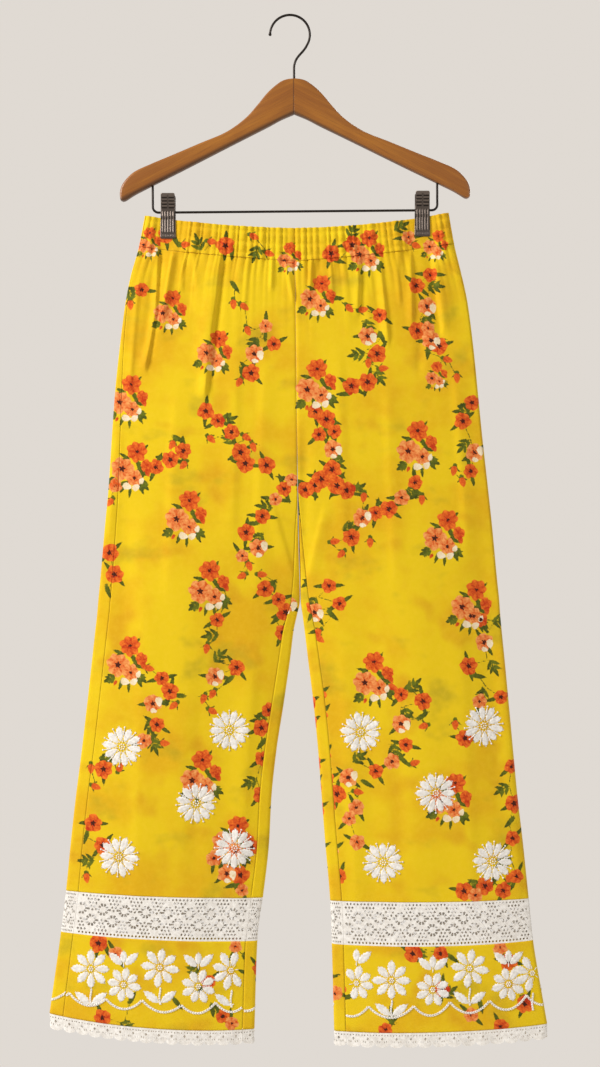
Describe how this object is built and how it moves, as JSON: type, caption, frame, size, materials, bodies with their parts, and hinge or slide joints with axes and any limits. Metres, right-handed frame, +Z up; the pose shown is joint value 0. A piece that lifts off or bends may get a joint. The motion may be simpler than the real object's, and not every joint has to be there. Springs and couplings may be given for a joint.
{
  "type": "palazzo trousers on a wooden clip hanger",
  "caption": "Wide-legged trousers with a gathered waistband, lace bands and scalloped lace hems, hung by two clips on a wooden hanger with a wire hook.",
  "frame": {"origin": "inner top of the hook, where a rail or wall hook holds the hanger", "axes": "-Y is the front that the wearer shows, +X is to the right as seen from the front, +Z is up"},
  "size_m": [0.6183, 0.0275, 1.2821],
  "materials": {
    "printed_cotton": "soft matt cotton with a printed flower pattern",
    "lace": "matt off-white cotton lace",
    "varnished_wood": "satin varnish",
    "dark_wire": "dark bronze, half gloss",
    "clip_metal": "dark gunmetal, half gloss"
  },
  "bodies": {
    "root": {"waistband_front": "printed_cotton", "waistband_back": "printed_cotton", "leg_front_left": "printed_cotton", "leg_front_right": "printed_cotton", "leg_back_left": "printed_cotton", "leg_back_right": "printed_cotton", "lace_front_left": "lace", "lace_front_right": "lace", "lace_back_left": "lace", "lace_back_right": "lace", "hem_band_front_left": "printed_cotton", "hem_band_front_right": "printed_cotton", "hem_band_back_left": "printed_cotton", "hem_band_back_right": "printed_cotton", "edging_front_left": "lace", "edging_front_right": "lace", "edging_back_left": "lace", "edging_back_right": "lace", "hanger_arm_left": "varnished_wood", "hanger_arm_right": "varnished_wood", "hook": "dark_wire", "crossbar": "dark_wire", "clip_jaw_front_left": "clip_metal", "clip_jaw_back_left": "clip_metal", "clip_jaw_front_right": "clip_metal", "clip_jaw_back_right": "clip_metal", "clip_spring_left": "clip_metal", "clip_spring_right": "clip_metal"}
  },
  "joints": []
}
